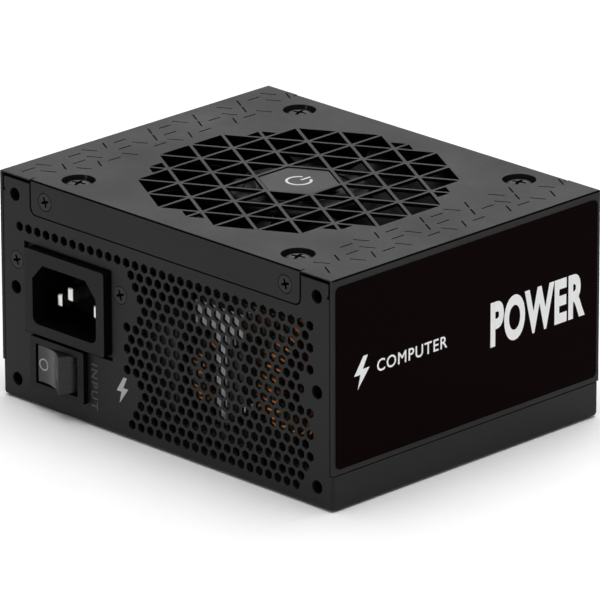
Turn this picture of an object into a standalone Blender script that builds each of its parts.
"""An SFX computer power supply with a 92 mm fan, a mains inlet, a rocker switch and modular sockets.

The frame is the case's own: the origin is the centre of its underside, +X runs along its width,
-Y faces the mains panel and +Z goes up through the fan grille. All sizes below are in millimetres,
and the helper functions turn them into Blender's metres.
"""

import math

import bmesh
import bpy
from mathutils import Matrix, Vector

MM = 0.001

# The case.
WIDTH, DEPTH, HEIGHT = 125.0, 100.0, 63.5
HALF_X, HALF_Y = WIDTH / 2, DEPTH / 2
SHEET = 0.9
BEND = 1.0
GAP = 0.3
TRAY_TOP = 9.6
COVER_LOW = TRAY_TOP + GAP
COVER_INSIDE = HALF_X - SHEET
ROOF_INSIDE = HEIGHT - SHEET
PANEL_HALF = COVER_INSIDE - GAP
PANEL_TOP = ROOF_INSIDE - 0.4
FLAP_HALF, FLAP_LOW, FLAP_CORNER = 50.5, 54.0, 1.8
FLAP_SCREW_X, FLAP_SCREW_Z = 45.2, 58.4
MOUNT_HOLE_X, MOUNT_HOLE_R = 56.8, 1.9
MOUNT_HOLE_ZS = (5.6, HEIGHT / 2, HEIGHT - 5.6)

# The hexagonal vent in the mains panel: staggered rows, left out round the inlet and the holes.
HEX_PITCH, HEX_ROW, HEX_ROWS = 3.417, 3.0, 16
HEX_R = 1.44
HEX_FIRST_X, HEX_LAST_X, HEX_TOP_Z = -55.1, 54.4, 49.3
HEX_FIELD_X = -14.6
HEX_KEEP_OUT = ((-16.6, 39.6, 6.85), (-16.0, 13.0, 6.2), (56.8, 31.75, 5.85), (56.8, 5.4, 5.85))

# The fan and its grille.
FAN_HALF, FAN_SCREW = 46.0, 41.25
FAN_LOW, FAN_EAR_TOP, FAN_RING_TOP = 47.3, 59.5, 62.2
FAN_BORE, BLADE_TIP, HUB_R = 43.9, 43.0, 19.6
HUB_LOW, HUB_TOP = 50.3, 61.4
BLADES = 9
CUP_R, CUP_FLOOR, CUP_LOW = 4.6, 60.6, 59.8
LATTICE, STRUT, GRILLE_R = 12.0, 0.9, 41.5
BADGE_R, BADGE_RECESS, BADGE_THICK = 11.4, 0.5, 0.2

# The mains inlet and the rocker switch, each about its own centre on the panel.
INLET_X, INLET_Z = -36.5, 32.95
INLET_HALF_X, INLET_HALF_Z = 15.3, 11.8
INLET_PROUD = 1.65
SOCKET_HALF_X, SOCKET_LOW, SOCKET_HIGH = 12.25, 24.1, 41.1
SOCKET_FLOOR_Y = -36.2
INLET_SCREW_DX, INLET_SCREW_Z = 19.9, 39.6
PIN_SPREAD, PIN_RISE = 7.0, 2.0
SWITCH_X, SWITCH_Z = -39.75, 12.95
BEZEL_HALF_X, BEZEL_HALF_Z = 10.5, 7.4
ROCKER_HALF_Z = 5.3
ROCKER_PIVOT_Y = -46.8
ROCKER_TILT = math.radians(17)

# The modular sockets at the rear, as (columns, x, z), and the boards.
MODULAR_SOCKETS = {
    "modular_socket_18_pin": (9, -22.0, 40.5),
    "modular_socket_10_pin": (5, 17.0, 40.5),
    "modular_socket_8_pin_a": (4, -34.5, 26.5),
    "modular_socket_8_pin_b": (4, -11.5, 26.5),
    "modular_socket_8_pin_c": (4, 11.5, 26.5),
    "modular_socket_8_pin_d": (4, 34.5, 26.5),
    "modular_socket_6_pin_a": (3, -34.5, 12.5),
    "modular_socket_6_pin_b": (3, -11.5, 12.5),
    "modular_socket_6_pin_c": (3, 11.5, 12.5),
}
BOARD_LOW, BOARD = 5.9, 1.6
BOARD_TOP = BOARD_LOW + BOARD
SEAT = BOARD_TOP + GAP
STANDOFFS = ((-50, -27), (50, -40), (-50, 31), (50, 31))
SOCKET_PITCH, SOCKET_RIM = 4.2, 1.0
SOCKET_FRONT, SOCKET_BACK = 51.2, 39.4

COLOURS = {
    "painted_steel": ((0.030, 0.030, 0.031), 0.45, 0.6),
    "grille_steel": ((0.060, 0.060, 0.062), 0.45, 0.6),
    "badge_metal": ((0.045, 0.045, 0.047), 0.35, 0.8),
    "label_film": ((0.006, 0.004, 0.004), 0.35, 0.0),
    "black_plastic": ((0.020, 0.020, 0.021), 0.50, 0.0),
    "fan_plastic": ((0.015, 0.015, 0.016), 0.45, 0.0),
    "rocker_plastic": ((0.035, 0.035, 0.036), 0.35, 0.0),
    "screw_steel": ((0.080, 0.080, 0.084), 0.35, 1.0),
    "plated_brass": ((0.720, 0.720, 0.700), 0.25, 1.0),
    "shaft_steel": ((0.500, 0.500, 0.510), 0.25, 1.0),
    "bearing_bronze": ((0.450, 0.300, 0.150), 0.40, 1.0),
    "copper_wire": ((0.720, 0.290, 0.110), 0.30, 1.0),
    "board_green": ((0.015, 0.050, 0.022), 0.50, 0.0),
    "insulating_film": ((0.030, 0.030, 0.030), 0.60, 0.0),
    "heatsink_aluminium": ((0.560, 0.570, 0.580), 0.40, 1.0),
    "capacitor_sleeve": ((0.012, 0.012, 0.018), 0.35, 0.0),
    "film_capacitor": ((0.022, 0.023, 0.027), 0.50, 0.0),
    "ferrite": ((0.060, 0.060, 0.062), 0.70, 0.0),
    "winding_tape": ((0.600, 0.500, 0.120), 0.45, 0.0),
}

for old in list(bpy.data.objects):
    bpy.data.objects.remove(old, do_unlink=True)

parts = bpy.data.collections.new("power_supply_unit")
cutters = bpy.data.collections.new("cutters")
for collection in (parts, cutters):
    bpy.context.scene.collection.children.link(collection)


def make_material(name):
    """A Principled material with the colour, roughness and metallic value of one finish."""
    colour, roughness, metallic = COLOURS[name]
    material = bpy.data.materials.new(name)
    material.use_nodes = True
    shader = material.node_tree.nodes["Principled BSDF"]
    shader.inputs["Base Color"].default_value = (*colour, 1.0)
    shader.inputs["Roughness"].default_value = roughness
    shader.inputs["Metallic"].default_value = metallic
    material.diffuse_color = (*colour, 1.0)
    return material


materials = {name: make_material(name) for name in COLOURS}


def mesh_from(name, bm):
    """A mesh with its normals facing out, smooth across shallow angles only."""
    bmesh.ops.recalc_face_normals(bm, faces=bm.faces)
    mesh = bpy.data.meshes.new(name)
    bm.to_mesh(mesh)
    bm.free()
    mesh.shade_smooth()
    mesh.set_sharp_from_angle(angle=math.radians(35))
    return mesh


def add_part(name, mesh, finish):
    part = bpy.data.objects.new(name, mesh)
    mesh.materials.append(materials[finish])
    parts.objects.link(part)
    return part


def add_cutter(name, mesh):
    """A helper solid that a Boolean uses, kept out of the object itself."""
    cutter = bpy.data.objects.new(name, mesh)
    cutter.hide_render = True
    cutter.display_type = "WIRE"
    cutters.objects.link(cutter)
    return cutter


def boolean(part, helper, operation):
    modifier = part.modifiers.new(helper.name, "BOOLEAN")
    modifier.object = helper
    modifier.operation = operation
    modifier.solver = "EXACT"


def add_box(bm, low, high):
    """A box between two corners."""
    low, high = Vector(low) * MM, Vector(high) * MM
    place = Matrix.Translation((low + high) / 2) @ Matrix.Diagonal((high - low).to_4d())
    return bmesh.ops.create_cube(bm, size=1.0, matrix=place)["verts"]


TURN_TO = {
    "x": Matrix.Rotation(math.pi / 2, 4, "Y"),
    "y": Matrix.Rotation(-math.pi / 2, 4, "X"),
    "z": Matrix.Identity(4),
}


def add_cylinder(bm, start, axis, length, r_start, r_end=None, segments=24, turn=0.0):
    """A cylinder or cone that runs from start along an axis, turned about it by an angle."""
    r_end = r_start if r_end is None else r_end
    middle = Matrix.Translation((0, 0, length * MM / 2))
    place = Matrix.Translation(Vector(start) * MM) @ TURN_TO[axis] @ middle @ Matrix.Rotation(turn, 4, "Z")
    bmesh.ops.create_cone(
        bm,
        cap_ends=True,
        segments=segments,
        radius1=r_start * MM,
        radius2=r_end * MM,
        depth=length * MM,
        matrix=place,
    )


def box_mesh(name, low, high):
    bm = bmesh.new()
    add_box(bm, low, high)
    return mesh_from(name, bm)


# An outline's two coordinates lie on the other two axes: (y, z), (x, z) or (x, y).
OUTLINE_AXES = {
    "x": Matrix(((0, 0, 1, 0), (1, 0, 0, 0), (0, 1, 0, 0), (0, 0, 0, 1))),
    "y": Matrix(((1, 0, 0, 0), (0, 0, -1, 0), (0, 1, 0, 0), (0, 0, 0, 1))),
    "z": Matrix.Identity(4),
}
OUTLINE_SIGN = {"x": 1, "y": -1, "z": 1}


def plate_mesh(name, outlines, axis, low, high):
    """A flat plate between two places on an axis: the first outline is its edge, the others are holes."""
    curve = bpy.data.curves.new(name, "CURVE")
    curve.dimensions = "2D"
    curve.fill_mode = "BOTH"
    curve.extrude = (high - low) * MM / 2
    for outline in outlines:
        spline = curve.splines.new("POLY")
        spline.points.add(len(outline) - 1)
        for point, (across, up) in zip(spline.points, outline):
            point.co = (across * MM, up * MM, 0, 1)
        spline.use_cyclic_u = True
    drawn = bpy.data.objects.new(name + "_outline", curve)
    cutters.objects.link(drawn)
    evaluated = drawn.evaluated_get(bpy.context.evaluated_depsgraph_get())
    mesh = bpy.data.meshes.new_from_object(evaluated)
    bpy.data.objects.remove(drawn, do_unlink=True)
    offset = OUTLINE_SIGN[axis] * (low + high) / 2 * MM
    mesh.transform(OUTLINE_AXES[axis] @ Matrix.Translation((0, 0, offset)))
    bm = bmesh.new()
    bm.from_mesh(mesh)
    bpy.data.meshes.remove(mesh)
    bmesh.ops.remove_doubles(bm, verts=bm.verts, dist=0.001 * MM)
    return mesh_from(name, bm)


def arc(centre, radius, start, end, steps):
    """Points along an arc, from one angle to another in degrees."""
    angles = [math.radians(start + (end - start) * i / steps) for i in range(steps + 1)]
    return [(centre[0] + radius * math.cos(a), centre[1] + radius * math.sin(a)) for a in angles]


def rounded_rectangle(low, high, radius, steps=3):
    """The outline of a rectangle with round corners, anticlockwise."""
    left, right = low[0] + radius, high[0] - radius
    bottom, top = low[1] + radius, high[1] - radius
    corners = (((right, bottom), -90), ((right, top), 0), ((left, top), 90), ((left, bottom), 180))
    return [point for centre, start in corners for point in arc(centre, radius, start, start + 90, steps)]


def circle(centre, radius, steps=16):
    return arc(centre, radius, 0, 360 - 360 / steps, steps - 1)


def turned_part(name, profile, finish, place, axis="z", flip=False, steps=16):
    """A round piece on the Screw modifier: its profile is (radius, height), from the top down the outside."""
    mesh = bpy.data.meshes.new(name)
    bm = bmesh.new()
    points = [bm.verts.new((radius * MM, 0, height * MM)) for radius, height in profile]
    for first, second in zip(points, points[1:]):
        bm.edges.new((first, second))
    bm.to_mesh(mesh)
    bm.free()
    part = add_part(name, mesh, finish)
    screw = part.modifiers.new("Turn", "SCREW")
    screw.steps = screw.render_steps = steps
    screw.use_merge_vertices = True
    screw.merge_threshold = 0.00001
    turn = TURN_TO[axis] @ (Matrix.Rotation(math.pi, 4, "X") if flip else Matrix.Identity(4))
    part.matrix_world = Matrix.Translation(Vector(place) * MM) @ turn
    return part


def ring_profile(inner, outer, low, high, edge):
    """A ring's section with chamfered outer edges, closed on itself."""
    return [
        (inner, high),
        (outer - edge, high),
        (outer, high - edge),
        (outer, low + edge),
        (outer - edge, low),
        (inner, low),
        (inner, high),
    ]


# The case: a tray with two end panels, and a cover that drops over it.

def mirrored_ends(points):
    """Each point on the mains panel with its twin on the rear panel, half a turn away."""
    return [(x * side, z, side) for x, z in points for side in (1, -1)]


def hex_centres():
    """Where the hexagonal holes are: row by row, each odd row shifted by half a pitch."""
    centres = []
    for row in range(HEX_ROWS):
        z = HEX_TOP_Z - row * HEX_ROW
        x = HEX_FIRST_X + (row % 2) * HEX_PITCH / 2
        while x <= HEX_LAST_X:
            clear = all(math.hypot(x - kx, z - kz) > reach for kx, kz, reach in HEX_KEEP_OUT)
            if row == 0 or (x >= HEX_FIELD_X and clear):
                centres.append((x, z))
            x += HEX_PITCH
    return centres


def chassis_cuts():
    """All holes through the two end panels."""
    bm = bmesh.new()
    for x, z in hex_centres():
        add_cylinder(bm, (x, -HALF_Y - 1, z), "y", 3, HEX_R, segments=6)
    for x in (-MOUNT_HOLE_X, MOUNT_HOLE_X):
        for z in MOUNT_HOLE_ZS:
            add_cylinder(bm, (x, -HALF_Y - 1, z), "y", 3, MOUNT_HOLE_R, segments=16)
    for x, z, side in mirrored_ends(((-FLAP_SCREW_X, FLAP_SCREW_Z), (FLAP_SCREW_X, FLAP_SCREW_Z))):
        add_cylinder(bm, (x, -side * (HALF_Y - 1.5) - 1.5, z), "y", 3, 1.7, segments=12)
    for x in (INLET_X - INLET_SCREW_DX, INLET_X + INLET_SCREW_DX):
        add_cylinder(bm, (x, -HALF_Y - 0.1, INLET_SCREW_Z), "y", 1.2, 2.7, 1.7, segments=16)
    opening = 1.6
    low = (INLET_X - INLET_HALF_X - opening, -HALF_Y - 1, INLET_Z - INLET_HALF_Z - 1)
    high = (INLET_X + INLET_HALF_X + opening, -HALF_Y + 2, INLET_Z + INLET_HALF_Z + 1)
    add_box(bm, low, high)
    low = (SWITCH_X - BEZEL_HALF_X + 0.7, -HALF_Y - 1, SWITCH_Z - BEZEL_HALF_Z + 0.7)
    high = (SWITCH_X + BEZEL_HALF_X - 0.7, -HALF_Y + 2, SWITCH_Z + BEZEL_HALF_Z - 0.7)
    add_box(bm, low, high)
    for columns, x, z in MODULAR_SOCKETS.values():
        outline = [(x + across, z + up) for across, up in socket_outline(columns, GAP)]
        bm.from_mesh(plate_mesh("socket_cut", [outline], "y", HALF_Y - 2, HALF_Y + 2))
    for x, y in STANDOFFS:
        add_cylinder(bm, (x, y, 1.5), "z", 6, 1.7, segments=12)
    return mesh_from("chassis_cuts", bm)


def tray_mesh():
    """The tray's outside: a box without its lid, with its bends rounded."""
    bm = bmesh.new()
    add_box(bm, (-HALF_X, -HALF_Y, 0), (HALF_X, HALF_Y, TRAY_TOP))
    lid = [face for face in bm.faces if face.normal.z > 0.9]
    bmesh.ops.delete(bm, geom=lid, context="FACES")
    bends = [edge for edge in bm.edges if not edge.is_boundary]
    bmesh.ops.bevel(bm, geom=bends, offset=BEND * MM, segments=2, affect="EDGES", profile=0.5)
    return mesh_from("chassis", bm)


def end_panel_mesh():
    """One end wall above the tray, with the cover flap's place left free and a tab behind it."""
    wing, relief = PANEL_HALF - 0.35, PANEL_HALF - 0.8
    notch = FLAP_HALF + 0.6
    corner = FLAP_CORNER + 0.4
    edge = [
        (PANEL_HALF, TRAY_TOP - 0.9),
        (PANEL_HALF, 58.1),
        (relief, 58.1),
        (relief, 58.9),
        (wing, 58.9),
        (wing, PANEL_TOP),
        (notch, PANEL_TOP),
        *arc((notch - corner, FLAP_LOW - 0.4 + corner), corner, 0, -90, 3),
    ]
    outline = edge + [(-x, z) for x, z in reversed(edge)]
    panel = plate_mesh("end_panel", [outline], "y", -HALF_Y, -HALF_Y + SHEET)
    inside = -HALF_Y + SHEET
    tab = [
        (inside - 0.2, 51.4),
        (inside + 1.2, 51.4),
        (inside + 1.2, PANEL_TOP),
        (inside + GAP, PANEL_TOP),
        (inside + GAP, 53.2),
        (inside - 0.2, 53.2),
    ]
    bm = bmesh.new()
    bm.from_mesh(plate_mesh("panel_tab", [tab], "x", -49, 49))
    for side in (-1, 1):
        edges = sorted((side * (PANEL_HALF - SHEET), side * PANEL_HALF))
        add_box(bm, (edges[0], -HALF_Y + 0.4, 12.6), (edges[1], -HALF_Y + 4.6, 58.2))
    return panel, mesh_from("panel_stiffeners", bm)


def make_chassis():
    chassis = add_part("chassis", tray_mesh(), "painted_steel")
    shell = chassis.modifiers.new("Sheet", "SOLIDIFY")
    shell.thickness = SHEET * MM
    shell.offset = -1
    shell.use_even_offset = True
    for mesh in end_panel_mesh():
        for end, turn in (("mains", 0), ("rear", math.pi)):
            copy = mesh.copy()
            copy.transform(Matrix.Rotation(turn, 4, "Z"))
            boolean(chassis, add_cutter(f"{mesh.name}_{end}", copy), "UNION")
    bm = bmesh.new()
    for x, y in STANDOFFS:
        add_cylinder(bm, (x, y, 0.4), "z", BOARD_LOW - GAP - 0.4, 3.0, segments=12)
    boolean(chassis, add_cutter("standoffs", mesh_from("standoffs", bm)), "UNION")
    boolean(chassis, add_cutter("chassis_cuts", chassis_cuts()), "DIFFERENCE")


def grille_triangles():
    """The grille's openings as (x, y, radius, turn): a triangular lattice kept inside a circle.

    The triangles that cross the circle beside its six farthest nodes are opened at half size.
    """
    rise = LATTICE * math.sqrt(3) / 2
    full = LATTICE / math.sqrt(3) - STRUT
    half = LATTICE / 2 / math.sqrt(3) - STRUT
    far_nodes = circle((0, 0), 3 * LATTICE, 12)[1::2]
    openings = []
    for column in range(-4, 4):
        for step in range(-9, 10):
            points_right = (column + step) % 2 == 1
            x = (column + (1 / 3 if points_right else 2 / 3)) * rise
            y = step * LATTICE / 2
            turn = 0.0 if points_right else math.pi
            node = min(far_nodes, key=lambda place: math.dist(place, (x, y)))
            if LATTICE * 0.7 < math.hypot(x, y) < GRILLE_R - 1.5:
                openings.append((x, y, full, turn))
            elif math.hypot(x, y) > GRILLE_R - 1.5 and math.dist(node, (x, y)) < LATTICE * 0.6:
                openings.append(((x + node[0]) / 2, (y + node[1]) / 2, half, turn))
    return openings


def cover_cuts():
    """The grille, the badge's recess, the fan screws' cups and the flap screws' countersinks."""
    bm = bmesh.new()
    for x, y, radius, turn in grille_triangles():
        add_cylinder(bm, (x, y, ROOF_INSIDE - 1), "z", 3, radius, segments=3, turn=turn - math.pi / 2)
    add_cylinder(bm, (0, 0, HEIGHT - BADGE_RECESS), "z", 2, BADGE_R, segments=6)
    for x in (-FAN_SCREW, FAN_SCREW):
        for y in (-FAN_SCREW, FAN_SCREW):
            add_cylinder(bm, (x, y, CUP_FLOOR), "z", 4, CUP_R, segments=24)
    for x, z, side in mirrored_ends(((-FLAP_SCREW_X, FLAP_SCREW_Z), (FLAP_SCREW_X, FLAP_SCREW_Z))):
        start = (x, -side * (HALF_Y + 0.1) - (0 if side > 0 else 1.2), z)
        radii = (2.75, 1.75) if side > 0 else (1.75, 2.75)
        add_cylinder(bm, start, "y", 1.2, *radii, segments=16)
    return mesh_from("cover_cuts", bm)


def cup_cuts():
    """The fan screws' clearance holes through the floors of the cups."""
    bm = bmesh.new()
    for x in (-FAN_SCREW, FAN_SCREW):
        for y in (-FAN_SCREW, FAN_SCREW):
            add_cylinder(bm, (x, y, CUP_LOW - 1), "z", 4, 2.3, segments=16)
    return mesh_from("cup_cuts", bm)


def flap_mesh():
    """The flap at the mains end: bent down from the roof, with round lower corners."""
    front, behind = -HALF_Y, -HALF_Y + SHEET
    bend = arc((front + BEND, HEIGHT - BEND), BEND, 180, 90, 3)
    inner = arc((front + BEND, HEIGHT - BEND), BEND - SHEET, 90, 180, 3)
    reach = front + 2.6
    outline = [(front, FLAP_LOW), *bend, (reach, HEIGHT), (reach, ROOF_INSIDE), *inner, (behind, FLAP_LOW)]
    mesh = plate_mesh("cover_flap", [outline], "x", -FLAP_HALF, FLAP_HALF)
    bm = bmesh.new()
    bm.from_mesh(mesh)
    low = (FLAP_LOW + 0.01) * MM
    side = (FLAP_HALF - 0.01) * MM
    corners = []
    for edge in bm.edges:
        first, second = (vert.co for vert in edge.verts)
        level = first.z < low and second.z < low
        if level and abs(first.x) > side and abs(second.x) > side and abs(first.x - second.x) < MM:
            corners.append(edge)
    bmesh.ops.bevel(bm, geom=corners, offset=FLAP_CORNER * MM, segments=3, affect="EDGES", profile=0.5)
    return mesh_from("cover_flap", bm)


def tongue_mesh():
    """The strip at each foot of the cover's sides that steps in and tucks behind the tray's wall."""
    outer, inner = COVER_INSIDE - GAP, COVER_INSIDE - GAP - SHEET
    outline = [
        (inner, 5.0),
        (outer, 5.0),
        (outer, COVER_LOW + 0.4),
        (COVER_INSIDE + 0.3, COVER_LOW + 0.4),
        (COVER_INSIDE + 0.3, 12.2),
        (inner, 12.2),
    ]
    bm = bmesh.new()
    for side in (1, -1):
        shape = outline if side > 0 else [(-x, z) for x, z in reversed(outline)]
        bm.from_mesh(plate_mesh("cover_tongue", [shape], "y", -44.6, 44.6))
    return mesh_from("cover_tongues", bm)


def make_top_cover():
    bm = bmesh.new()
    add_box(bm, (-HALF_X, -HALF_Y, COVER_LOW), (HALF_X, HALF_Y, HEIGHT))
    open_sides = [face for face in bm.faces if abs(face.normal.y) > 0.9 or face.normal.z < -0.9]
    bmesh.ops.delete(bm, geom=open_sides, context="FACES")
    bends = [edge for edge in bm.edges if not edge.is_boundary]
    bmesh.ops.bevel(bm, geom=bends, offset=BEND * MM, segments=3, affect="EDGES", profile=0.5)
    cover = add_part("top_cover", mesh_from("top_cover", bm), "grille_steel")
    shell = cover.modifiers.new("Sheet", "SOLIDIFY")
    shell.thickness = SHEET * MM
    shell.offset = -1
    shell.use_even_offset = True
    bm = bmesh.new()
    for side in (-1, 1):
        ends = sorted((side * (HALF_Y - 1.8), side * (HALF_Y + 1)))
        add_box(bm, (-FLAP_HALF - 0.5, ends[0], ROOF_INSIDE - 1), (FLAP_HALF + 0.5, ends[1], HEIGHT + 1))
    boolean(cover, add_cutter("bend_reliefs", mesh_from("bend_reliefs", bm)), "DIFFERENCE")
    flap = flap_mesh()
    boolean(cover, add_cutter("flap_mains", flap), "UNION")
    copy = flap.copy()
    copy.transform(Matrix.Rotation(math.pi, 4, "Z"))
    boolean(cover, add_cutter("flap_rear", copy), "UNION")
    boolean(cover, add_cutter("cover_tongues", tongue_mesh()), "UNION")
    bm = bmesh.new()
    for x in (-FAN_SCREW, FAN_SCREW):
        for y in (-FAN_SCREW, FAN_SCREW):
            add_cylinder(bm, (x, y, CUP_LOW), "z", HEIGHT - CUP_LOW - 0.4, CUP_R + 0.8, segments=24)
    boolean(cover, add_cutter("screw_cups", mesh_from("screw_cups", bm)), "UNION")
    boolean(cover, add_cutter("cover_cuts", cover_cuts()), "DIFFERENCE")
    boolean(cover, add_cutter("cup_cuts", cup_cuts()), "DIFFERENCE")


def make_labels():
    """The badge in the middle of the grille, and a film label on each side of the cover."""
    bm = bmesh.new()
    add_cylinder(bm, (0, 0, HEIGHT - BADGE_RECESS + 0.05), "z", BADGE_THICK, BADGE_R - 0.3, segments=6)
    add_part("badge", mesh_from("badge", bm), "badge_metal")
    outline = rounded_rectangle((-48.9, 11.4), (48.9, 61.3), 1.5)
    for name, side in (("side_label_right", 1), ("side_label_left", -1)):
        low, high = sorted((side * (HALF_X + 0.05), side * (HALF_X + 0.2)))
        add_part(name, plate_mesh(name, [outline], "x", low, high), "label_film")


# The fan.

def blade_mesh(turn):
    """One fan blade: a thin sheet that twists and sweeps from the hub out to its tip."""
    along, across = 5, 3
    bm = bmesh.new()
    rows = []
    for i in range(along + 1):
        share = i / along
        radius = (HUB_R - 0.9) * (1 - share) + BLADE_TIP * share
        chord = math.radians(34 - 6 * share)
        rise = (HUB_TOP - HUB_LOW - 1.4) * (0.92 - 0.12 * share)
        lead = turn + math.radians(16) * share**1.5
        row = []
        for j in range(across + 1):
            part = j / across - 0.5
            angle = lead + chord * part
            z = (HUB_LOW + HUB_TOP) / 2 + rise * part + 1.2 * (0.25 - part * part)
            row.append(bm.verts.new((radius * math.cos(angle) * MM, radius * math.sin(angle) * MM, z * MM)))
        rows.append(row)
    for low, high in zip(rows, rows[1:]):
        for j in range(across):
            bm.faces.new((low[j], high[j], high[j + 1], low[j + 1]))
    bmesh.ops.recalc_face_normals(bm, faces=bm.faces)
    bmesh.ops.solidify(bm, geom=bm.faces[:], thickness=1.1 * MM)
    return mesh_from("blade", bm)


def make_fan_rotor():
    """The hub, a cup that opens downwards, with its blades. It turns about Z."""
    wall = 1.8
    profile = [
        (0, HUB_TOP),
        (HUB_R - 2.0, HUB_TOP),
        (HUB_R - 0.6, HUB_TOP - 0.6),
        (HUB_R, HUB_TOP - 2.0),
        (HUB_R, HUB_LOW),
        (HUB_R - wall, HUB_LOW),
        (HUB_R - wall, HUB_TOP - 1.6),
        (0, HUB_TOP - 1.6),
    ]
    rotor = turned_part("fan_rotor", profile, "fan_plastic", (0, 0, 0), steps=32)
    bm = bmesh.new()
    for blade in range(BLADES):
        bm.from_mesh(blade_mesh(2 * math.pi * blade / BLADES))
    boolean(rotor, add_cutter("blades", mesh_from("blades", bm)), "UNION")


def make_fan_frame():
    outline = rounded_rectangle((-FAN_HALF, -FAN_HALF), (FAN_HALF, FAN_HALF), 4.5, 3)
    bore = circle((0, 0), FAN_BORE, 40)
    body = plate_mesh("fan_frame", [outline, bore], "z", FAN_LOW, FAN_EAR_TOP)
    frame = add_part("fan_frame", body, "fan_plastic")
    rim = [circle((0, 0), FAN_BORE + 1.6, 40), circle((0, 0), FAN_BORE, 40)]
    boolean(frame, add_cutter("fan_rim", plate_mesh("rim", rim, "z", FAN_EAR_TOP - 1, FAN_RING_TOP)), "UNION")
    for name, half_x, half_y in (("strut_x", FAN_BORE + 1, 2.0), ("strut_y", 2.0, FAN_BORE + 1)):
        strut = box_mesh(name, (-half_x, -half_y, FAN_LOW + 0.1), (half_x, half_y, FAN_LOW + 2.0))
        boolean(frame, add_cutter(name, strut), "UNION")
    for name, radius, top in (("hub_plate", HUB_R + 1.0, 1.7), ("bearing_tube", 5.1, 9.7)):
        bm = bmesh.new()
        add_cylinder(bm, (0, 0, FAN_LOW), "z", top, radius, segments=32)
        boolean(frame, add_cutter(name, mesh_from(name, bm)), "UNION")
    bm = bmesh.new()
    add_cylinder(bm, (0, 0, FAN_LOW + 1.9), "z", 10, 3.9, segments=20)
    for x in (-FAN_SCREW, FAN_SCREW):
        for y in (-FAN_SCREW, FAN_SCREW):
            add_cylinder(bm, (x, y, FAN_LOW - 1), "z", 15, 2.2, segments=12)
    boolean(frame, add_cutter("fan_frame_cuts", mesh_from("fan_frame_cuts", bm)), "DIFFERENCE")


def make_fan_core():
    """What the hub covers: the shaft, its sleeve bearing, the stator and its round board."""
    low = FAN_LOW + 2.2
    shaft = [(0, HUB_TOP - 1.9), (1.5, HUB_TOP - 1.9), (1.5, low), (0, low)]
    turned_part("fan_shaft", shaft, "shaft_steel", (0, 0, 0), steps=12)
    bearing = ring_profile(1.8, 3.6, low, low + 7.2, 0.4)
    turned_part("fan_bearing", bearing, "bearing_bronze", (0, 0, 0), steps=16)
    disc = [circle((0, 0), 15.5, 24), circle((0, 0), 5.5, 16)]
    add_part("fan_board", plate_mesh("fan_board", disc, "z", FAN_LOW + 2.1, FAN_LOW + 2.9), "board_green")
    poles = []
    for pole in range(4):
        middle = 90 * pole
        poles += arc((0, 0), 15.0, middle - 34, middle + 34, 6)
        poles += arc((0, 0), 8.0, middle + 38, middle + 52, 1)
    stator = plate_mesh("fan_stator", [poles, circle((0, 0), 5.5, 16)], "z", FAN_LOW + 3.6, FAN_LOW + 9.4)
    add_part("fan_stator", stator, "copper_wire")


# Fasteners: each is one turned piece, with its head at the top of its profile.

def make_screws():
    pan = [(0, 2.2), (2.2, 2.1), (3.3, 1.6), (3.8, 0.8), (3.8, 0), (1.7, 0), (1.7, -9), (0, -9)]
    for number, (x, y) in enumerate(((-1, -1), (1, -1), (1, 1), (-1, 1)), 1):
        place = (x * FAN_SCREW, y * FAN_SCREW, CUP_FLOOR + 0.05)
        turned_part(f"fan_screw_{number}", pan, "screw_steel", place)
    flat = [(0, 0), (2.5, 0), (1.45, -1.1), (1.45, -3.4), (0, -3.4)]
    places = mirrored_ends(((-FLAP_SCREW_X, FLAP_SCREW_Z), (FLAP_SCREW_X, FLAP_SCREW_Z)))
    for number, (x, z, side) in enumerate(places, 1):
        place = (x, -side * (HALF_Y - 0.05), z)
        turned_part(f"cover_screw_{number}", flat, "screw_steel", place, "y", flip=side > 0)
    for number, side in enumerate((-1, 1), 1):
        place = (INLET_X + side * INLET_SCREW_DX, -HALF_Y + 0.05, INLET_SCREW_Z)
        turned_part(f"inlet_screw_{number}", flat, "screw_steel", place, "y", flip=True)
    board = [(0, 1.8), (1.8, 1.7), (2.7, 0.9), (2.7, 0), (1.4, 0), (1.4, -5.4), (0, -5.4)]
    for number, (x, y) in enumerate(STANDOFFS, 1):
        turned_part(f"board_screw_{number}", board, "screw_steel", (x, y, SEAT), steps=12)


# The mains inlet and the rocker switch.

def inlet_pins():
    """Each pin as (name, x, z, length): two side by side, and the longer earth pin above and between them."""
    middle = (SOCKET_LOW + SOCKET_HIGH) / 2
    return (
        ("inlet_pin_line", INLET_X - PIN_SPREAD, middle - PIN_RISE, 10.7),
        ("inlet_pin_neutral", INLET_X + PIN_SPREAD, middle - PIN_RISE, 10.7),
        ("inlet_pin_earth", INLET_X, middle + PIN_RISE, 13.4),
    )


def socket_opening():
    """The outline a mains plug fits: square below with small rounds, and cut off at its top corners."""
    left, right = INLET_X - SOCKET_HALF_X, INLET_X + SOCKET_HALF_X
    cut_x, cut_z, radius = 4.0, 4.4, 2.0
    return [
        *arc((left + radius, SOCKET_LOW + radius), radius, 180, 270, 3),
        *arc((right - radius, SOCKET_LOW + radius), radius, 270, 360, 3),
        (right, SOCKET_HIGH - cut_z),
        (right - cut_x, SOCKET_HIGH),
        (left + cut_x, SOCKET_HIGH),
        (left, SOCKET_HIGH - cut_z),
    ]


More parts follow.
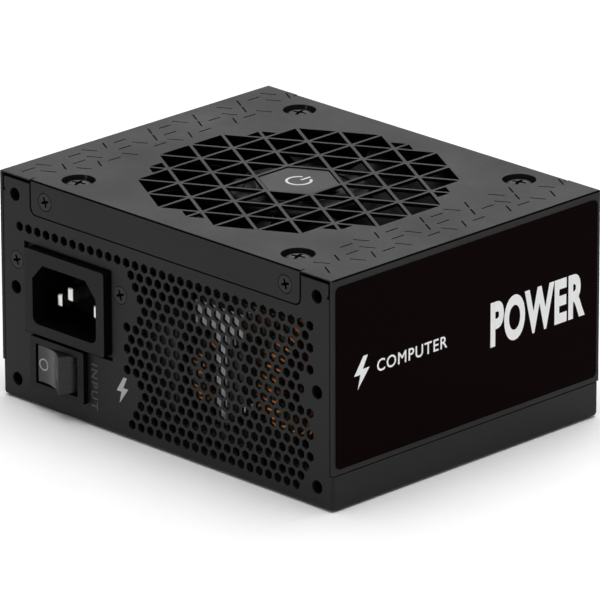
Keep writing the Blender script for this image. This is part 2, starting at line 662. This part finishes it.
def make_inlet():
    flange_front, flange_back = -HALF_Y + SHEET + GAP, -HALF_Y + SHEET + GAP + 2.4
    half_x, half_z = INLET_HALF_X + 1.4, INLET_HALF_Z + 0.8
    ear = INLET_SCREW_DX + 3.5
    right_side = [
        (half_x, -half_z),
        (half_x, INLET_SCREW_Z - INLET_Z - 8),
        (ear, INLET_SCREW_Z - INLET_Z - 3),
        (ear, INLET_SCREW_Z - INLET_Z + 3),
        (half_x, half_z),
    ]
    flange = [(INLET_X + x, INLET_Z + z) for x, z in right_side]
    flange += [(INLET_X - x, INLET_Z + z) for x, z in reversed(right_side)]
    flange = plate_mesh("inlet_housing", [flange], "y", flange_front, flange_back)
    housing = add_part("inlet_housing", flange, "black_plastic")
    low = (INLET_X - INLET_HALF_X, INLET_Z - INLET_HALF_Z)
    high = (INLET_X + INLET_HALF_X, INLET_Z + INLET_HALF_Z)
    face = rounded_rectangle(low, high, 0.8, 2)
    boss = plate_mesh("inlet_boss", [face], "y", -HALF_Y - INLET_PROUD, flange_front + 0.5)
    boolean(housing, add_cutter("inlet_boss", boss), "UNION")
    low = (INLET_X - INLET_HALF_X + 1, flange_back - 0.5, INLET_Z - INLET_HALF_Z + 1)
    high = (INLET_X + INLET_HALF_X - 1, SOCKET_FLOOR_Y + 2, INLET_Z + INLET_HALF_Z - 1)
    boolean(housing, add_cutter("inlet_body", box_mesh("inlet_body", low, high)), "UNION")
    opening = plate_mesh("inlet_opening", [socket_opening()], "y", -HALF_Y - INLET_PROUD - 1, SOCKET_FLOOR_Y)
    boolean(housing, add_cutter("inlet_opening", opening), "DIFFERENCE")
    bm = bmesh.new()
    for _, x, z, _ in inlet_pins():
        low, high = (x - 1.3, SOCKET_FLOOR_Y - 1, z - 2.3), (x + 1.3, SOCKET_FLOOR_Y + 4, z + 2.3)
        add_box(bm, low, high)
    for side in (-1, 1):
        place = (INLET_X + side * INLET_SCREW_DX, flange_front - 1, INLET_SCREW_Z)
        add_cylinder(bm, place, "y", 5, 1.75, segments=16)
    boolean(housing, add_cutter("inlet_holes", mesh_from("inlet_holes", bm)), "DIFFERENCE")
    for name, x, z, length in inlet_pins():
        bm = bmesh.new()
        add_box(bm, (x - 1.0, SOCKET_FLOOR_Y - length, z - 2.0), (x + 1.0, SOCKET_FLOOR_Y + 6, z + 2.0))
        tip = (SOCKET_FLOOR_Y - length + 0.1) * MM
        edges = [edge for edge in bm.edges if all(vert.co.y < tip for vert in edge.verts)]
        bmesh.ops.bevel(bm, geom=edges, offset=0.6 * MM, segments=2, affect="EDGES", profile=0.5)
        add_part(name, mesh_from(name, bm), "plated_brass")


def make_switch():
    """The switch's body, clipped into the panel, with its rocker pressed in at its off side."""
    front = -HALF_Y - INLET_PROUD
    cavity_x, cavity_z = 8.0, ROCKER_HALF_Z + 0.25
    low = (SWITCH_X - BEZEL_HALF_X, SWITCH_Z - BEZEL_HALF_Z)
    high = (SWITCH_X + BEZEL_HALF_X, SWITCH_Z + BEZEL_HALF_Z)
    rim = plate_mesh("switch_bezel", [rounded_rectangle(low, high, 0.6, 2)], "y", front, -HALF_Y - 0.15)
    bezel = add_part("switch_bezel", rim, "black_plastic")
    body_x, body_z, body_back = BEZEL_HALF_X - 1, BEZEL_HALF_Z - 1, -38.0
    low = (SWITCH_X - body_x, -HALF_Y - 0.5, SWITCH_Z - body_z)
    high = (SWITCH_X + body_x, body_back, SWITCH_Z + body_z)
    boolean(bezel, add_cutter("switch_body", box_mesh("switch_body", low, high)), "UNION")
    low = (SWITCH_X - cavity_x, front - 1, SWITCH_Z - cavity_z)
    high = (SWITCH_X + cavity_x, ROCKER_PIVOT_Y + 3.6, SWITCH_Z + cavity_z)
    boolean(bezel, add_cutter("switch_cavity", box_mesh("switch_cavity", low, high)), "DIFFERENCE")
    for side, name in ((-1, "switch_terminal_line"), (1, "switch_terminal_load")):
        x = SWITCH_X + side * 5.0
        low, high = (x - 0.4, body_back + GAP, SWITCH_Z - 3.1), (x + 0.4, body_back + 8.5, SWITCH_Z + 3.1)
        add_part(name, box_mesh(name, low, high), "plated_brass")


def make_rocker():
    """The rocker on its upright pivot: two shallow dished faces that meet over the pivot."""
    top, top_half, foot, foot_half, waist = 6.5, 6.0, 1.5, 5.3, 7.2
    dish, steps = 1.4, 8
    face = []
    for i in range(steps + 1):
        share = 2 * i / steps - 1
        face.append((-share * top_half, -(top - dish * (1 - share * share))))
    outline = [*face, (-waist, 0), (-foot_half, foot), (foot_half, foot), (waist, 0)]
    solid = plate_mesh("switch_rocker", [outline], "z", -ROCKER_HALF_Z, ROCKER_HALF_Z)
    rocker = add_part("switch_rocker", solid, "rocker_plastic")
    pivot = Matrix.Translation(Vector((SWITCH_X, ROCKER_PIVOT_Y, SWITCH_Z)) * MM)
    rocker.matrix_world = pivot @ Matrix.Rotation(-ROCKER_TILT, 4, "Z")


# The boards and what stands on them.

def socket_half(columns):
    return (columns * SOCKET_PITCH + SOCKET_RIM) / 2


def socket_outline(columns, room=0.0):
    """A modular socket's face with the ledge for its latch on top, drawn about its own centre."""
    across, up = socket_half(columns) + room, socket_half(2) + room
    ledge, rise = 2.2 + room, 1.3
    upper = [(across, up), (ledge, up), (ledge, up + rise), (-ledge, up + rise), (-ledge, up), (-across, up)]
    return [(-across, -up), (across, -up), *upper]


def make_modular_sockets():
    for name, (columns, x, z) in MODULAR_SOCKETS.items():
        outline = [(x + across, z + up) for across, up in socket_outline(columns)]
        block = plate_mesh(name, [outline], "y", SOCKET_BACK, SOCKET_FRONT)
        socket = add_part(name, block, "black_plastic")
        bm = bmesh.new()
        for column in range(columns):
            for row in (-0.5, 0.5):
                cx = x + (column - (columns - 1) / 2) * SOCKET_PITCH
                cz = z + row * SOCKET_PITCH
                low, high = (cx - 1.7, SOCKET_FRONT - 9, cz - 1.7), (cx + 1.7, SOCKET_FRONT + 1, cz + 1.7)
                add_box(bm, low, high)
        boolean(socket, add_cutter(name + "_pockets", mesh_from(name + "_pockets", bm)), "DIFFERENCE")


def make_boards():
    holes = [circle((x, y), 1.75, 12) for x, y in STANDOFFS]
    outline = [(-57, -33), (-13, -33), (-13, -45.5), (57, -45.5), (57, 36), (-57, 36)]
    board = plate_mesh("main_board", [outline, *holes], "z", BOARD_LOW, BOARD_TOP)
    add_part("main_board", board, "board_green")
    holes = [circle((x, y), 3.4, 12) for x, y in STANDOFFS]
    film = [rounded_rectangle((-58, -46), (58, 46), 2, 2), *holes]
    add_part("insulating_sheet", plate_mesh("insulating_sheet", film, "z", 1.3, 1.7), "insulating_film")
    low, high = (-50, SOCKET_BACK - GAP - BOARD, SEAT), (50, SOCKET_BACK - GAP, 46.8)
    add_part("modular_board", box_mesh("modular_board", low, high), "board_green")
    low, high = (-17.8, -4, SEAT), (-16.2, 26, 30)
    add_part("control_board", box_mesh("control_board", low, high), "board_green")


def make_capacitors():
    def sleeve(radius, height):
        rolled_edge = [(radius - 1.2, height - 0.4), (radius - 0.8, height), (radius - 0.3, height)]
        return [(0, height - 0.4), *rolled_edge, (radius, height - 0.5), (radius, 0), (0, 0)]

    turned_part("bulk_capacitor", sleeve(14.5, 37), "capacitor_sleeve", (-38, 12, SEAT), steps=28)
    for number, (x, y) in enumerate(((34, 11), (46, 11), (34, 23.5), (46, 23.5)), 1):
        turned_part(f"output_capacitor_{number}", sleeve(5, 20), "capacitor_sleeve", (x, y, SEAT), steps=16)
    bm = bmesh.new()
    add_box(bm, (-20, -42, SEAT), (-3.2, -33, SEAT + 25))
    bmesh.ops.bevel(bm, geom=bm.edges[:], offset=0.6 * MM, segments=1, affect="EDGES", profile=0.5)
    add_part("x_capacitor", mesh_from("x_capacitor", bm), "film_capacitor")


def make_magnetics():
    """The wound parts: two upright toroids, a flat one, and a transformer round its core's middle leg."""
    upright = ring_profile(7.0, 17.8, 0, 10.5, 2.0)
    turned_part("emi_choke", upright, "copper_wire", (28, -28.5, SEAT + 17.9), "x", steps=28)
    smaller = ring_profile(4.5, 11, 0, 7, 1.5)
    turned_part("common_mode_choke", smaller, "copper_wire", (-2, -30, SEAT + 11.1), "x")
    turned_part("pfc_choke", ring_profile(4.5, 11.5, 0, 13, 2.0), "copper_wire", (-34, -17, SEAT))
    x, z = 2.0, SEAT + 13
    core = rounded_rectangle((x - 13, z - 13), (x + 13, z + 13), 0.6, 1)
    windows = [rounded_rectangle((x + s - 3, z - 9), (x + s + 3, z + 9), 0.4, 1) for s in (-6.5, 6.5)]
    add_part("transformer_core", plate_mesh("transformer_core", [core, *windows], "y", 12, 26), "ferrite")
    outer = rounded_rectangle((x - 9, 8), (x + 9, 30), 2.5, 2)
    inner = rounded_rectangle((x - 3.8, 11.6), (x + 3.8, 26.4), 0.3, 1)
    winding = plate_mesh("transformer_winding", [outer, inner], "z", z - 8.5, z + 8.5)
    add_part("transformer_winding", winding, "winding_tape")


def make_heatsinks():
    stem = [(8.4, 33.6), (8.4, SEAT), (12.2, SEAT), (12.2, 33.6)]
    tee = [*stem, (18.4, 33.6), (18.4, 40.2), (0.6, 40.2), (0.6, 33.6)]
    add_part("primary_heatsink", plate_mesh("primary_heatsink", [tee], "y", -39, 4), "heatsink_aluminium")
    comb = [(20.5, SEAT), (24, SEAT)]
    for fin in range(4):
        z = 16 + 6 * fin
        comb += [(24, z), (28, z), (28, z + 2), (24, z + 2)]
    comb += [(24, 38), (20.5, 38)]
    add_part("secondary_heatsink", plate_mesh("secondary_heatsink", [comb], "y", 8, 33), "heatsink_aluminium")


make_chassis()
make_top_cover()
make_labels()
make_fan_frame()
make_fan_rotor()
make_fan_core()
make_screws()
make_inlet()
make_switch()
make_rocker()
make_boards()
make_modular_sockets()
make_capacitors()
make_magnetics()
make_heatsinks()
